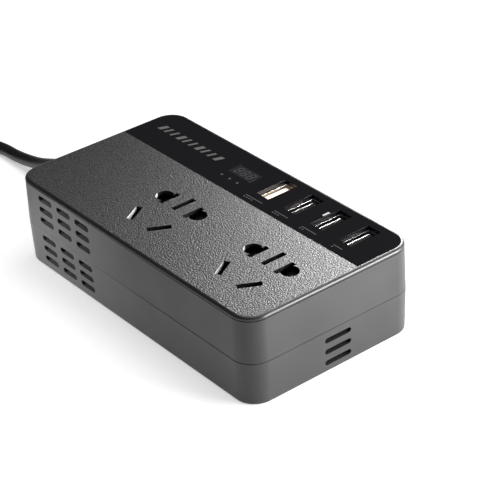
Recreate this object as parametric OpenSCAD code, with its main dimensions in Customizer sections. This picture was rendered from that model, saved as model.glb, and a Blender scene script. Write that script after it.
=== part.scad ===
// In-car power inverter: a flat two-shell casing with a grained top cover, a glossy
// strip with four USB sockets and a small meter, two five-hole mains sockets, a
// cooling fan, and a 12 V lead that ends in a sprung accessory plug.
// Millimetres. Origin at the centre of the casing's underside, +X along its length
// away from the lead, +Y towards the glossy strip, +Z up.

/* [Casing] */
// Length of the casing
body_l = 130; // [130:1:134]
// Width of the casing
body_w = 70; // [70:0.5:72]
// Height of the casing with its cover
body_h = 33; // [33:0.5:35]
// Radius of the upright corners
corner_r = 8; // [7:0.5:8]
// Thickness of the casing walls
wall = 2; // [1.8:0.1:2.2]
// Height of the joint between the lower and upper shells
split_z = 15.7; // [15.5:0.1:16]
// Thickness of the grained cover plate
cover_t = 1.5; // [1.4:0.1:1.6]
// Rounding along the cover's upper edge
cover_round = 1.2; // [0.8:0.1:1.3]

/* [Glossy strip] */
// Y position of the strip's inner edge
strip_y = 11.2; // [10.8:0.1:11.4]
// Thickness of the strip
strip_t = 0.8; // [0.6:0.1:0.9]
// Distance from one USB socket to the next
usb_pitch = 14.05; // [13.9:0.05:14.1]
// Centre of the first USB socket along X
usb_x = 8; // [7.9:0.1:8.2]

/* [Mains sockets] */
// Centre of the left mains socket along X
socket_ax = -6.2; // [-6.4:0.1:-6]
// Centre of the right mains socket along X
socket_bx = 41.6; // [41.4:0.1:41.8]
// Y position of the two-pin holes' centre line
pair_y = -6.1; // [-6.2:0.1:-6]
// Y position of the slanted slots' centres
slant_y = -20.5; // [-20.6:0.1:-20.4]

/* [Vents] */
// Height of one vent slot
vent_h = 2.2; // [1.8:0.1:2.4]
// Length of one side vent slot
vent_l = 8.2; // [7.6:0.1:8.4]

/* [Fan] */
// Side of the square fan frame
fan_s = 25; // [24:0.5:25]
// Number of fan blades
fan_blades = 7; // [5:1:9]

/* [Lead and plug] */
// Radius of the 12 V lead
cord_r = 2.4; // [2.3:0.05:2.4]
// Radius of the plug's barrel
barrel_r = 10.4; // [10.3:0.1:10.4]
// Travel of the plug's sprung tip
tip_travel = 3; // [2:0.5:3]

/* [Hidden] */

round_fn = 64;
eps = 0.01;
cover_z = body_h - cover_t;            // underside of the cover
deck_t = 1.6;                          // thickness of the upper shell's deck
deck_z = cover_z - deck_t;
// window in the deck behind a socket's face, about the socket's centre line
deck_win_x = 13.2;
deck_win_y0 = -25.6;
deck_win_y1 = 0.4;
in_l = body_l - 2 * wall;
in_w = body_w - 2 * wall;
in_r = corner_r - wall;
boss_x = body_l / 2 - 5.7;
boss_y = body_w / 2 - 5.7;
boss_r = 3;
board_z = 5;
board_t = 1.6;
board_top = board_z + board_t;
// glossy strip: an inset of 1.5 mm from the casing's outline
strip_l = body_l - 3;
strip_w = body_w - 3;
strip_r = corner_r - 1.5;
strip_z = body_h - strip_t;
// meter window
meter_x = -8.35;
meter_y = 23.25;
meter_l = 12;
meter_w = 5.9;
// USB sockets
usb_y = 24.1;
usb_open_x = 6.1;
usb_open_y = 12.8;
usb_out_x = 5.7;
usb_out_y = 13.1;
usb_wall = 0.3;
usb_board_z = 15.8;
usb_base_z = usb_board_z + board_t;
usb_top_z = cover_z - 0.05;
tongue_t = 1.84;
tongue_w = 10.7;
tongue_top = cover_z - 0.6;
// mains sockets: flat blades 12.7 mm apart, round pins 18.8 mm apart
blade_in = 5.7;
blade_t = 2;
blade_l = 8.1;
pin_x = 9.3;
pin_hole_r = 3.2;
earth_y = -5.1;
earth_w = 2.1;
earth_l = 9.4;
slant_x = 6.9;
slant_a = 30;
slant_w = 2.4;
slant_l = 8.2;
// socket housing, from each socket's centre
hs_x0 = -18.2;
hs_x1 = 14.6;
hs_y0 = -27.6;
hs_y1 = 13.6;
hs_z0 = 8.5;
hs_z1 = deck_z - 0.1;
hs_w = 1.2;
mid_z0 = 24.5;
mid_z1 = 25.7;
shut_z0 = 25.9;
shut_z1 = 29.6;
shut_lip = 26.7;
pair_travel = 9.6;
slant_travel = 6.5;
// vents
vent_cols = [-47.3, -36.05, -24.9];
vent_rows = [28.6, 24.3, 20.0, 12.7, 8.5, 4.3];
end_vent_rows = [12.05, 7.75, 3.45];
end_vent_y = 1.2;
end_vent_l = 11;
// fan, behind the side vents
fan_x = -37.5;
fan_z = 16.5;
fan_y0 = -(body_w / 2) + wall + 0.2;
fan_d = 8;
fan_y1 = fan_y0 + fan_d;
fan_bore = 11.8;
// lead
gland_hole_r = 4;
coil_c = [-126, -60];
coil_in = 20;
coil_out = 30;
coil_mid = 25;
coil_h = 5;
// the lead's route, from inside the gland to where it joins the coil
lead_pts = [[-61.5, 0, 15.7], [-72, 0, 15.7], [-79, 0, 15.4], [-86, 0, 14], [-95, 0, 10.8],
  [-105, 0, 7.2], [-112, 0, 5.2], [-120, 0, 3.6], [-127, 0, 2.7], [-134, -0.2, 2.4],
  [-142, -2.3, 2.4], [-149, -7.1, 2.4], [-154, -14.7, 2.4], [-156, -24, 2.4],
  [-156, -36, 2.4], [-156, -48, 2.4]];
// from the coil's inner turn, over its other turns and on to the plug
tail_pts = [[-118.3, -41.5, 5.2], [-126, -39.8, 6.7], [-134, -40.8, 7.3], [-141.2, -44.8, 7.3],
  [-146.5, -51.5, 7.1], [-148.5, -60, 6.9], [-146.8, -68.6, 6.8], [-141.9, -75.9, 6.8],
  [-137.2, -79.6, 6.8], [-128.5, -84.5, 7.35], [-120, -89.4, 7.6], [-113, -93.3, 8.4],
  [-106, -96.9, 9.7], [-100, -99.1, 11], [-94, -99.9, 11.8], [-87, -100, 12], [-76, -100, 12]];
// plug, lying along X
plug_y = -100;
plug_z = 12;
plug_grip_r = 12;
px_boot = -94;     // rear end of the boot
px_rear = -80;     // rear face of the shells
px_step = -47;     // where the grip steps down to the barrel
px_front = -18;    // front face of the shells
px_cap = -9;       // front face of the nose cap
px_tip = -4.5;     // front of the tip
px_seat = -60;     // spring seat
px_fuse0 = -46;    // rear end of the fuse
px_fuse1 = -16;    // front end of the fuse

// ---- small helpers -------------------------------------------------------
function catmull(a, b, c, d, t) = 0.5 * ((2 * b) + (c - a) * t + (2 * a - 5 * b + 4 * c - d) * t * t
  + (3 * b - a - 3 * c + d) * t * t * t);
function at(p, i) = p[max(0, min(len(p) - 1, i))];
function smooth_path(p, n) = concat([for (i = [0 : len(p) - 2]) for (k = [0 : n - 1])
  catmull(at(p, i - 1), at(p, i), at(p, i + 1), at(p, i + 2), k / n)], [p[len(p) - 1]]);
function unit(v) = v / norm(v);
function tangent(p, i) = unit(at(p, i + 1) - at(p, i - 1));
function side_of(t) = unit(cross([0, 0, 1], t));

// A round tube swept along p, which is never upright.
module swept_tube(p, r, n) {
  m = len(p);
  pts = [for (i = [0 : m - 1]) let (t = tangent(p, i), s = side_of(t), u = cross(t, s))
    for (k = [0 : n - 1]) p[i] + r * (cos(360 * k / n) * s + sin(360 * k / n) * u)];
  faces = concat([[for (k = [0 : n - 1]) k]],
    [for (i = [0 : m - 2]) for (k = [0 : n - 1])
      [i * n + k, (i + 1) * n + k, (i + 1) * n + (k + 1) % n, i * n + (k + 1) % n]],
    [[for (k = [n - 1 : -1 : 0]) (m - 1) * n + k]]);
  polyhedron(points = pts, faces = faces, convexity = 6);
}

// A coil spring of length l along +X, with n turns.
module spring_x(l, r, wire, turns, per, sides) {
  m = turns * per;
  pts = [for (i = [0 : m]) let (a = 360 * i / per, x = wire + (l - 2 * wire) * i / m)
    for (k = [0 : sides - 1]) let (q = 360 * k / sides)
      [x + wire * sin(q), (r + wire * cos(q)) * cos(a), (r + wire * cos(q)) * sin(a)]];
  faces = concat([[for (k = [sides - 1 : -1 : 0]) k]],
    [for (i = [0 : m - 1]) for (k = [0 : sides - 1])
      [i * sides + k, i * sides + (k + 1) % sides, (i + 1) * sides + (k + 1) % sides, (i + 1) * sides + k]],
    [[for (k = [0 : sides - 1]) m * sides + k]]);
  polyhedron(points = pts, faces = faces, convexity = 10);
}

module rrect(l, w, r) {
  square([l - 2 * r, w], center = true);
  square([l, w - 2 * r], center = true);
  for (sx = [-1, 1], sy = [-1, 1]) translate([sx * (l / 2 - r), sy * (w / 2 - r)]) circle(r = r, $fn = round_fn);
}

module rbox(l, w, r, z0, z1) { translate([0, 0, z0]) linear_extrude(z1 - z0) rrect(l, w, r); }

module slab(x0, x1, y0, y1, z0, z1) { translate([x0, y0, z0]) cube([x1 - x0, y1 - y0, z1 - z0]); }

module rod_x(x0, x1, r, y = 0, z = 0, fn = 48) { translate([x0, y, z]) rotate([0, 90, 0]) cylinder(r = r, h = x1 - x0, $fn = fn); }
module rod_y(y0, y1, r, x = 0, z = 0, fn = 48) { translate([x, y0, z]) rotate([-90, 0, 0]) cylinder(r = r, h = y1 - y0, $fn = fn); }
module rod_z(z0, z1, r, x = 0, y = 0, fn = 48) { translate([x, y, z0]) cylinder(r = r, h = z1 - z0, $fn = fn); }

// A slot through a wall that faces Y, with round ends.
module slot_y(x, z, l, h, y0, y1) {
  slab(x - l / 2 + h / 2, x + l / 2 - h / 2, y0, y1, z - h / 2, z + h / 2);
  for (s = [-1, 1]) rod_y(y0, y1, h / 2, x + s * (l / 2 - h / 2), z, 24);
}
module slot_x(y, z, l, h, x0, x1) {
  slab(x0, x1, y - l / 2 + h / 2, y + l / 2 - h / 2, z - h / 2, z + h / 2);
  for (s = [-1, 1]) rod_x(x0, x1, h / 2, y + s * (l / 2 - h / 2), z, 24);
}

// The pin holes of one mains socket, grown by g.
module socket_holes(cx, z0, z1, g) {
  for (s = [-1, 1]) {
    slab(cx + s * (blade_in + blade_t / 2) - blade_t / 2 - g, cx + s * (blade_in + blade_t / 2) + blade_t / 2 + g,
      pair_y - blade_l / 2 - g, pair_y + blade_l / 2 + g, z0, z1);
    rod_z(z0, z1, pin_hole_r + g, cx + s * pin_x, pair_y);
    translate([cx + s * slant_x, slant_y, z0]) rotate([0, 0, -s * slant_a])
      translate([-slant_w / 2 - g, -slant_l / 2 - g, 0]) cube([slant_w + 2 * g, slant_l + 2 * g, z1 - z0]);
  }
  slab(cx - earth_w / 2 - g, cx + earth_w / 2 + g, earth_y - earth_l / 2 - g, earth_y + earth_l / 2 + g, z0, z1);
}
module usb_holes(z0, z1, dx, dy) {
  for (i = [0 : 3]) slab(usb_x + i * usb_pitch - dx / 2, usb_x + i * usb_pitch + dx / 2, usb_y - dy / 2, usb_y + dy / 2, z0, z1);
}
module lamp_hole(z0, z1, g) { slab(31.5 - g, 32.4 + g, 24 - g, 26.9 + g, z0, z1); }
module bosses(z0, z1, r) { for (sx = [-1, 1], sy = [-1, 1]) rod_z(z0, z1, r, sx * boss_x, sy * boss_y); }

// ---- casing --------------------------------------------------------------
module lower_casing() color("#4a4a4b") {
  difference() {
    union() {
      difference() {
        union() {
          hull() {
            rbox(body_l - 1.6, body_w - 1.6, corner_r - 0.8, 0, 0.1);
            rbox(body_l - 0.46, body_w - 0.46, corner_r - 0.23, 0.24, 0.3);
            rbox(body_l, body_w, corner_r, 0.8, split_z);
          }
          // inner lip that enters the upper shell
          rbox(body_l - 2.1, body_w - 2.1, corner_r - 1.05, split_z - 1, split_z + 1.2);
        }
        rbox(in_l, in_w, in_r, wall, split_z + 2);
        for (x = vent_cols, z = [vent_rows[3], vent_rows[4], vent_rows[5]])
          slot_y(x, z, vent_l, vent_h, -body_w / 2 - 1, -body_w / 2 + wall + 1);
        for (z = end_vent_rows) slot_x(end_vent_y, z, end_vent_l, vent_h - 0.3, body_l / 2 - wall - 1, body_l / 2 + 1);
      }
      intersection() {
        bosses(wall - eps, split_z, boss_r);
        rbox(body_l - 2, body_w - 2, corner_r - 1, 0, split_z);
      }
      for (x = [-45, 0, 45], y = [-18, 26]) rod_z(wall - eps, board_z, 2, x, y);
    }
    bosses(-1, split_z + 1, 1.3);
    bosses(-1, 3, 2.6);
    rod_x(-body_l / 2 - 1, -body_l / 2 + wall + 1, gland_hole_r, 0, split_z);
  }
}

module upper_casing() color("#515152") {
  difference() {
    union() {
      difference() {
        rbox(body_l, body_w, corner_r, split_z, cover_z);
        rbox(in_l, in_w, in_r, split_z - 1, deck_z);
        rbox(body_l - 2, body_w - 2, corner_r - 1, split_z - 1, split_z + 1.3);
        for (x = vent_cols, z = [vent_rows[0], vent_rows[1], vent_rows[2]])
          slot_y(x, z, vent_l, vent_h, -body_w / 2 - 1, -body_w / 2 + wall + 1);
      }
      intersection() {
        bosses(split_z + 0.1, deck_z + eps, boss_r);
        rbox(in_l + 0.2, in_w + 0.2, in_r + 0.1, split_z + 1.4, cover_z);
      }
    }
    // one window in the deck behind each socket's face: its holes are in the cover
    for (cx = [socket_ax, socket_bx]) slab(cx - deck_win_x, cx + deck_win_x, deck_win_y0, deck_win_y1, deck_z - 1, cover_z + 1);
    usb_holes(deck_z - 1, cover_z + 1, usb_out_x + 0.3, usb_out_y + 0.3);
    lamp_hole(deck_z - 1, cover_z + 1, 0.2);
    slab(meter_x - 6.3, meter_x + 6.3, meter_y - 3.8, meter_y + 3.8, deck_z - 1, cover_z + 1);
    bosses(split_z - 1, 26, 1.2);
    rod_x(-body_l / 2 - 1, -body_l / 2 + wall + 1, gland_hole_r, 0, split_z);
  }
}

module top_cover() color("#4d4c4c") {
  difference() {
    hull() {
      rbox(body_l - 0.2, body_w - 0.2, corner_r - 0.1, cover_z, body_h - cover_round);
      rbox(body_l - 0.2 - 0.15 * cover_round, body_w - 0.2 - 0.15 * cover_round, corner_r - 0.1 - 0.075 * cover_round,
        body_h - 0.62 * cover_round, body_h - 0.6 * cover_round);
      rbox(body_l - 0.2 - 0.59 * cover_round, body_w - 0.2 - 0.59 * cover_round, corner_r - 0.1 - 0.29 * cover_round,
        body_h - 0.3 * cover_round, body_h - 0.28 * cover_round);
      rbox(body_l - 0.2 - 1.23 * cover_round, body_w - 0.2 - 1.23 * cover_round, corner_r - 0.1 - 0.62 * cover_round,
        body_h - 0.08 * cover_round, body_h - 0.07 * cover_round);
      rbox(body_l - 0.2 - 2 * cover_round, body_w - 0.2 - 2 * cover_round, corner_r - 0.1 - cover_round, body_h - 0.02, body_h);
    }
    // bed of the glossy strip
    translate([0, 0, strip_z]) linear_extrude(2) intersection() {
      rrect(strip_l + 0.1, strip_w + 0.1, strip_r + 0.05);
      translate([-100, strip_y - 0.05]) square([200, 60]);
    }
    for (cx = [socket_ax, socket_bx]) socket_holes(cx, cover_z - 1, body_h + 1, 0);
    usb_holes(cover_z - 1, body_h + 1, usb_open_x, usb_open_y);
    lamp_hole(cover_z - 1, body_h + 1, 0.1);
    slab(meter_x - 5.5, meter_x + 5.5, meter_y - 2.5, meter_y + 2.5, cover_z - 1, body_h + 1);
  }
}

module gloss_strip() color("#1d1c1e") {
  difference() {
    translate([0, 0, strip_z]) linear_extrude(strip_t) intersection() {
      rrect(strip_l, strip_w, strip_r);
      translate([-100, strip_y]) square([200, 60]);
    }
    usb_holes(strip_z - 1, body_h + 1, usb_open_x, usb_open_y);
    lamp_hole(strip_z - 1, body_h + 1, 0.05);
    slab(meter_x - meter_l / 2 - 0.05, meter_x + meter_l / 2 + 0.05, meter_y - meter_w / 2 - 0.05, meter_y + meter_w / 2 + 0.05,
      strip_z - 1, body_h + 1);
  }
}

module display_window() color("#2f2c33")
  slab(meter_x - meter_l / 2, meter_x + meter_l / 2, meter_y - meter_w / 2, meter_y + meter_w / 2, strip_z, body_h);

module display_module() color("#d8d6d0") {
  slab(meter_x - 6, meter_x + 6, meter_y - 3.5, meter_y + 3.5, 24.5, cover_z - 0.1);
  for (i = [-2 : 2], s = [-1, 1]) slab(meter_x + 2.3 * i - 0.25, meter_x + 2.3 * i + 0.25, meter_y + 2.6 * s - 0.25, meter_y + 2.6 * s + 0.25,
    usb_base_z, 24.5 + eps);
}

module case_screws() color("#3c3c3f")
  for (sx = [-1, 1], sy = [-1, 1]) translate([sx * boss_x, sy * boss_y, 0]) difference() {
    union() { rod_z(1.2, 3, 2.3); rod_z(3 - eps, 24, 1.15, fn = 32); }
    for (a = [0, 90]) rotate([0, 0, a]) translate([-1.4, -0.35, 0]) cube([2.8, 0.7, 2]);
  }

// ---- electronics ----------------------------------------------------------
module main_board() color("#1f6b3a") difference() {
  union() {
    slab(-55.5, 55.5, -22.4, 32.2, board_z, board_top);
    slab(-23.5, 55.5, -32.2, -22.4 + eps, board_z, board_top);
  }
  for (x = [-45, 0, 45], y = [-18, 26]) rod_z(board_z - 1, board_top + 1, 1, x, y, 24);
}

module usb_board() color("#1f6b3a") slab(-20, 55.4, 15, 32, usb_board_z, usb_base_z);

module usb_shell(i) color("#c9cacc") translate([usb_x + i * usb_pitch, usb_y, 0]) difference() {
  slab(-usb_out_x / 2, usb_out_x / 2, -usb_out_y / 2, usb_out_y / 2, usb_base_z, usb_top_z);
  slab(-usb_out_x / 2 + usb_wall, usb_out_x / 2 - usb_wall, -usb_out_y / 2 + usb_wall, usb_out_y / 2 - usb_wall, usb_base_z - 1, usb_top_z + 1);
}

module usb_insert(i) color(i == 0 ? "#efe4cf" : "#2a2a2c") translate([usb_x + i * usb_pitch, usb_y, 0]) {
  slab(-2.5, 2.5, -6.2, 6.2, usb_base_z, usb_base_z + 3);
  slab(-1.67, -1.67 + tongue_t, -tongue_w / 2, tongue_w / 2, usb_base_z + 3 - eps, tongue_top);
}

module usb_contacts() color("#c9a24a") for (i = [0 : 3], k = [-3.5, -1, 1, 3.5])
  translate([usb_x + i * usb_pitch, usb_y, 0])
    slab(-1.67 + tongue_t, -1.67 + tongue_t + 0.25, k - 0.5, k + 0.5, usb_base_z + 3.05, tongue_top - 1.2);

module status_lamp() color("#e9ecef") lamp_hole(usb_base_z, body_h, 0);

module socket_housing(cx) color("#2b2b2d") difference() {
  slab(cx + hs_x0, cx + hs_x1, hs_y0, hs_y1, hs_z0, hs_z1);
  slab(cx + hs_x0 + hs_w, cx + hs_x1 - hs_w, hs_y0 + hs_w, hs_y1 - hs_w, hs_z0 + hs_w, mid_z0);
  slab(cx + hs_x0 + hs_w, cx + hs_x1 - hs_w, hs_y0 + hs_w, hs_y1 - hs_w, mid_z1, hs_z1 + 1);
  socket_holes(cx, mid_z0 - 1, mid_z1 + 1, 0.4);
}

contact_z0 = hs_z0 + hs_w;
contact_z1 = 24;
// Brass strip with a clip under one two-pin hole and one under a slanted slot.
module line_contact(cx, s) color("#c8a04a") {
  slab(cx + s * 9.1 - 4.1, cx + s * 9.1 + 4.1, pair_y - 3.5, pair_y + 3.5, contact_z0, contact_z0 + 0.6);
  for (x = [5, 12.6]) slab(cx + s * (x + 0.3) - 0.3, cx + s * (x + 0.3) + 0.3, pair_y - 3.5, pair_y + 3.5, contact_z0, contact_z1);
  slab(cx + s * 7.5 - 1.5, cx + s * 7.5 + 1.5, slant_y, pair_y, contact_z0, contact_z0 + 0.6);
  translate([cx + s * slant_x, slant_y, 0]) rotate([0, 0, -s * slant_a]) {
    slab(-2.2, 2.2, -3.6, 3.6, contact_z0, contact_z0 + 0.6);
    for (t = [-1.9, 1.9]) slab(t - 0.3, t + 0.3, -3.6, 3.6, contact_z0, contact_z1);
  }
}
module earth_contact(cx) color("#c8a04a") {
  slab(cx - 2.1, cx + 2.1, earth_y - 4, earth_y + 4, contact_z0, contact_z0 + 0.6);
  for (t = [-1.8, 1.8]) slab(cx + t - 0.3, cx + t + 0.3, earth_y - 4, earth_y + 4, contact_z0, contact_z1);
}

// Shutter behind the two-pin holes; it slides towards +Y.
module pair_shutter(cx) color("#343437") difference() {
  union() {
    for (s = [-1, 1]) translate([cx + s * 9.2 - 4, 0, 0]) rotate([90, 0, 90]) linear_extrude(8)
      polygon([[pair_y - 4.8, shut_z0], [2.1, shut_z0], [2.1, shut_z1], [pair_y + 2.6, shut_z1], [pair_y - 4.8, shut_lip]]);
    slab(cx - 5.3, cx + 5.3, -0.1, 2.1, shut_z0, shut_z1);
  }
  for (s = [-1, 1]) rod_y(-2.5, 3, 1.35, cx + s * 9.2, 27.8, 24);
}
// Shutter behind the slanted slots; it slides towards -X.
module slant_shutter(cx) color("#343437") difference() {
  union() {
    for (x = [-10.3, 3.6]) translate([cx + x, slant_y + 4.7, 0]) rotate([90, 0, 0]) linear_extrude(9.4)
      polygon([[0, shut_z0], [6.7, shut_z0], [6.7, shut_lip], [4.2, shut_z1], [0, shut_z1]]);
    for (y = [slant_y - 5.7, slant_y + 4.6]) slab(cx - 10.3, cx + 10.3, y, y + 1.1, shut_z0, shut_z1 - 0.6);
  }
  rod_x(cx - 11, cx - 6.6, 1.35, slant_y, 27.8, 24);
}
module pair_springs(cx) color("#b9bbbe") for (s = [-1, 1])
  translate([cx + s * 9.2, -2.45, 27.8]) rotate([0, 0, 90]) spring_x(hs_y1 - hs_w + 2.4, 0.95, 0.2, 8, 8, 5);
module slant_spring(cx) color("#b9bbbe")
  translate([cx + hs_x0 + hs_w + 0.05, slant_y, 27.8]) spring_x(10.3, 0.95, 0.2, 7, 8, 5);

// ---- fan --------------------------------------------------------------------
module fan_frame() color("#2d2d2f") difference() {
  union() {
    difference() {
      slab(fan_x - fan_s / 2, fan_x + fan_s / 2, fan_y0, fan_y1, fan_z - fan_s / 2, fan_z + fan_s / 2);
      rod_y(fan_y0 - 1, fan_y1 + 1, fan_bore, fan_x, fan_z, 96);
      for (sx = [-1, 1], sz = [-1, 1]) rod_y(fan_y0 - 1, fan_y1 + 1, 1.1, fan_x + sx * 10.3, fan_z + sz * 10.3, 24);
    }
    rod_y(fan_y1 - 1.1, fan_y1, 5.8, fan_x, fan_z);
    rod_y(fan_y0 + 2.3, fan_y1 - 1, 2, fan_x, fan_z);
    for (a = [20, 140, 260]) translate([fan_x, 0, fan_z]) rotate([0, a, 0])
      slab(5, fan_bore + 0.3, fan_y1 - 1.1, fan_y1, -0.7, 0.7);
  }
  rod_y(fan_y0 - 1, fan_y1 - 0.6, 0.8, fan_x, fan_z, 32);
}
module fan_rotor() color("#38383a") {
  difference() {
    rod_y(fan_y0 + 0.8, fan_y0 + 5.3, 5.5, fan_x, fan_z);
    rod_y(fan_y0 + 1.8, fan_y0 + 6, 4.7, fan_x, fan_z);
  }
  rod_y(fan_y0 + 1.7, fan_y1 - 1.2, 0.75, fan_x, fan_z, 32);
  for (i = [0 : fan_blades - 1]) translate([fan_x, fan_y0 + 3.05, fan_z]) rotate([0, 360 * i / fan_blades, 0])
    rotate([35, 0, 0]) slab(5.2, 11.2, -2.4, 2.4, -0.4, 0.4);
}

// ---- inverter components -------------------------------------------------------
tx = -40;
ty = -5;
module transformer_core() color("#3a3635") difference() {
  slab(tx - 12, tx + 12, ty - 5, ty + 5, board_top, board_top + 20);
  for (s = [-1, 1]) slab(tx + s * 6.2 - 2.2, tx + s * 6.2 + 2.2, ty - 6, ty + 6, board_top + 3, board_top + 17);
}
module transformer_winding() color("#c27b2e") difference() {
  slab(tx - 8.3, tx + 8.3, ty - 9.5, ty + 9.5, board_top + 3.1, board_top + 16.9);
  slab(tx - 4.05, tx + 4.05, ty - 5.05, ty + 5.05, board_top, board_top + 20);
}
module electrolytic_capacitors() color("#1c2431") for (x = [-50, -40, -30]) {
  rod_z(board_top, board_top + 14, 4, x, 13);
  rod_z(board_top + 14 - eps, board_top + 14.3, 3.2, x, 13);
}
module heatsink() color("#b4b6b9") {
  slab(-54, -26, 29.6, 32.2, board_top, 27);
  for (z = [10, 14, 18, 22, 26]) slab(-54, -26, 27.9, 29.7, z, z + 1);
}
module mosfets() color("#232326") for (x = [-47, -34]) {
  slab(x - 5, x + 5, 26.5, 27.85, 12, 25.5);
  slab(x - 5, x + 5, 23.4, 26.51, 12, 21.5);
  for (k = [-2.5, 0, 2.5]) slab(x + k - 0.4, x + k + 0.4, 25, 25.6, board_top, 12.01);
}
module filter_inductor() color("#b5702c") translate([16, -12, board_top + 2]) rotate_extrude($fn = 48) translate([4.2, 0]) circle(r = 2, $fn = 24);
module input_wires() color("#a32b26") for (s = [-1, 1]) {
  rod_x(-61.5, -54, 0.9, s * 1.2, split_z, 24);
  translate([-54, s * 1.2, split_z]) sphere(r = 0.9, $fn = 24);
  rod_z(board_top, split_z, 0.9, -54, s * 1.2, 24);
}

// ---- lead ----------------------------------------------------------------------
module cable_gland() color("#232325") difference() {
  union() {
    rod_x(-body_l / 2 + wall + 0.05, -body_l / 2 + wall + 1.5, 5.5, 0, split_z);
    rod_x(-body_l / 2 - 0.1, -body_l / 2 + wall + 0.1, gland_hole_r - 0.05, 0, split_z);
    rod_x(-body_l / 2 - 1.6, -body_l / 2 - 0.05, 5, 0, split_z);
    translate([-body_l / 2 - 1.5, 0, split_z]) rotate([0, -90, 0]) cylinder(r1 = 4.4, r2 = 3.2, h = 12.5, $fn = 48);
    for (i = [0 : 3]) rod_x(-body_l / 2 - 12.6 + i * 2.8, -body_l / 2 - 11.4 + i * 2.8, 3.75 + i * 0.25, 0, split_z);
  }
  rod_x(-body_l / 2 - 20, -body_l / 2 + 10, cord_r + 0.05, 0, split_z);
}
module cable_lead() color("#1c1c1e") swept_tube(smooth_path(lead_pts, 2), cord_r, 10);
module cable_tail() color("#1c1c1e") swept_tube(smooth_path(tail_pts, 2), cord_r, 10);
module cable_coil() color("#1c1c1e") translate([coil_c[0], coil_c[1], 0]) difference() {
  rotate_extrude($fn = 96) polygon([[coil_in - 2.5, 0], [coil_out + 2.5, 0], [coil_out + 2.5, coil_h], [coil_in - 2.5, coil_h]]);
  slab(15, 36, -3.3, 3.3, -1, 0.62);
}
module cable_tie() color("#2a2a2c") translate([coil_c[0] + coil_mid, coil_c[1], 0]) difference() {
  slab(-8.6, 8.6, -3, 3, 0, 6.2);
  slab(-8, 8, -4, 4, 0.6, 5.6);
}

// ---- accessory plug ----------------------------------------------------------------
// Half of the plug's body: the outside profile turned about the plug's axis.
module plug_body() translate([0, plug_y, plug_z]) difference() {
  rotate([0, 90, 0]) rotate_extrude($fn = 96) polygon([[0, px_rear], [9.2, px_rear], [11.2, px_rear + 2], [plug_grip_r, px_rear + 7],
    [plug_grip_r, px_step - 3], [11.2, px_step], [barrel_r, px_step], [barrel_r, px_front], [8.4, px_front], [8.4, px_front + 5], [0, px_front + 5]]);
  rod_x(px_fuse1 - 6, px_front + 10, 6.4);
  rod_x(px_seat + 1, px_front, 4.4);
  rod_x(px_rear - 1, px_seat + 2, cord_r + 0.1);
  rod_x(px_rear - 1, px_rear + 2.05, 5.6);
  for (s = [-1, 1]) {
    translate([0, s * 10.6, 0]) slab(-44, -20, -3.1, 3.1, -2.9, 2.9);
    rod_z(-20, 7, 1.05, -73, s * 7.2, 24);
    rod_z(-20, -7, 2.1, -73, s * 7.2, 24);
  }
}
module plug_shell_upper() color("#29292b") difference() {
  intersection() { plug_body(); slab(-100, 0, plug_y - 20, plug_y + 20, plug_z, plug_z + 20); }
  rod_z(plug_z + 6, plug_z + 20, 1.6, -54, plug_y, 24);
}
module plug_shell_lower() color("#29292b") intersection() { plug_body(); slab(-100, 0, plug_y - 20, plug_y + 20, -5, plug_z); }
module plug_nose_cap() color("#1f1f21") translate([0, plug_y, plug_z]) difference() {
  rotate([0, 90, 0]) rotate_extrude($fn = 96) polygon([[0, px_front + 0.05], [9.9, px_front + 0.05], [9.9, px_cap - 1.5], [8.6, px_cap], [0, px_cap]]);
  rod_x(px_front - 1, px_front + 5.1, 8.5);
  rod_x(px_front, px_cap - 3.2, 6.4);
  rod_x(px_front, px_cap + 1, 4.05);
}
module plug_tip() color("#c4c6c8") translate([0, plug_y, plug_z]) rotate([0, 90, 0]) rotate_extrude($fn = 64)
  polygon([[0, px_fuse1], [6, px_fuse1], [6, px_fuse1 + 2], [4, px_fuse1 + 3.6], [4, px_tip - 2], [2.6, px_tip - 0.4], [1.4, px_tip], [0, px_tip]]);
module plug_fuse() color("#dfe3e4") translate([0, plug_y, plug_z]) {
  rod_x(px_fuse0, px_fuse1, 2.9);
  rod_x(px_fuse0, px_fuse0 + 6, 3.15);
  rod_x(px_fuse1 - 6, px_fuse1, 3.15);
}
module plug_spring() color("#b9bbbe") translate([px_seat + 1.05, plug_y, plug_z]) spring_x(px_fuse0 - px_seat - 1.1, 3.6, 0.45, 7, 12, 6);
module plug_contact(s) color("#c4c6c8") translate([0, plug_y, plug_z - 2.5]) linear_extrude(5)
  polygon([[-43.5, s * 9.2], [-40, s * 9.2], [-35, s * 10.9], [-32, s * 11.3], [-29, s * 10.9], [-24, s * 9.2], [-20.5, s * 9.2],
    [-20.5, s * 9.7], [-23.8, s * 9.7], [-28.8, s * 11.4], [-32, s * 11.8], [-35.2, s * 11.4], [-40.2, s * 9.7], [-43.5, s * 9.7]]);
module plug_boot() color("#232325") translate([0, plug_y, plug_z]) difference() {
  union() {
    rod_x(px_rear, px_rear + 2, 5.5);
    translate([px_rear + eps, 0, 0]) rotate([0, -90, 0]) cylinder(r1 = 5.5, r2 = 3.3, h = px_rear - px_boot, $fn = 48);
    for (i = [0 : 3]) rod_x(px_boot + 1 + 3.2 * i, px_boot + 2.4 + 3.2 * i, 4.1 + 0.5 * i);
  }
  rod_x(px_boot - 1, px_rear + 5, cord_r + 0.05);
}
module plug_lamp() color("#c33a30") rod_z(plug_z + 7, plug_z + plug_grip_r + 0.3, 1.5, -54, plug_y, 24);
module plug_screws() color("#8d8f92") for (s = [-1, 1]) translate([-73, plug_y + s * 7.2, plug_z]) difference() {
  union() { rod_z(-8.6, -7, 1.9, fn = 32); rod_z(-7.01, 6, 0.98, fn = 24); }
  slab(-1.3, 1.3, -0.3, 0.3, -9, -8);
}

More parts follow.
